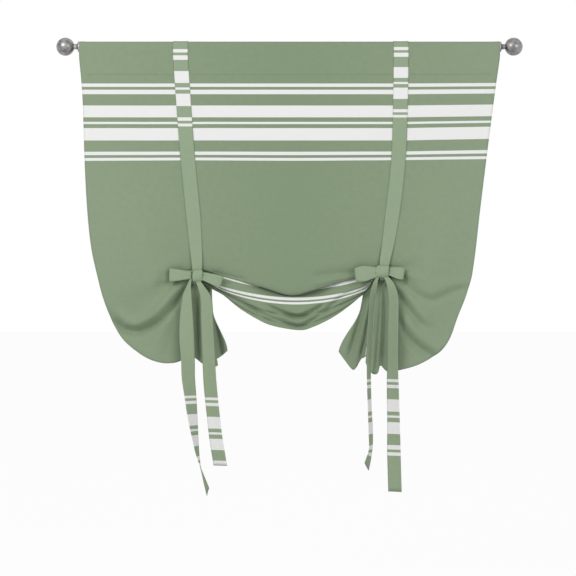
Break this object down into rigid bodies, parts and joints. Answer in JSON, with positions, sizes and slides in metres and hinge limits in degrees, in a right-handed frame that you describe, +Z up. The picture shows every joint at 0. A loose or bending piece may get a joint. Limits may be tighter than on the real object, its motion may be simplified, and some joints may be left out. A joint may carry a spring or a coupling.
{
  "type": "tie-up curtain",
  "caption": "Flat curtain panel on an extending rod with ball finials, drawn up by front and back ties knotted in bows, with a sagging swag between them.",
  "frame": {"origin": "on the rod's axis, midway between the finials", "axes": "+X along the rod to the right as seen from the front, -Y towards the room, +Z up"},
  "size_m": [1.2936, 0.0907, 1.2571],
  "materials": {
    "panel_cloth": "plain-woven polyester, sage green printed with white stripes",
    "tie_cloth": "the panel's cloth, cut and hemmed as strips",
    "rod_steel": "brushed nickel plate",
    "finial_nickel": "satin pewter-grey nickel plate",
    "stud_steel": "zinc-plated threaded rod",
    "plug_plastic": "black moulded nylon"
  },
  "bodies": {
    "rod_and_curtain": {"rod_outer_tube": "rod_steel", "left_end_plug": "plug_plastic", "left_finial": "finial_nickel", "left_finial_stud": "stud_steel", "curtain_panel": "panel_cloth", "left_front_tie": "tie_cloth", "left_back_tie": "tie_cloth", "right_front_tie": "tie_cloth", "right_back_tie": "tie_cloth"},
    "rod_extension": {"rod_inner_tube": "rod_steel", "right_end_plug": "plug_plastic", "right_finial": "finial_nickel", "right_finial_stud": "stud_steel"}
  },
  "joints": [
    {"name": "rod_extend", "type": "slide", "parent": "rod_and_curtain", "child": "rod_extension", "axis": [1, 0, 0], "range_m": [0, 0.25]}
  ]
}
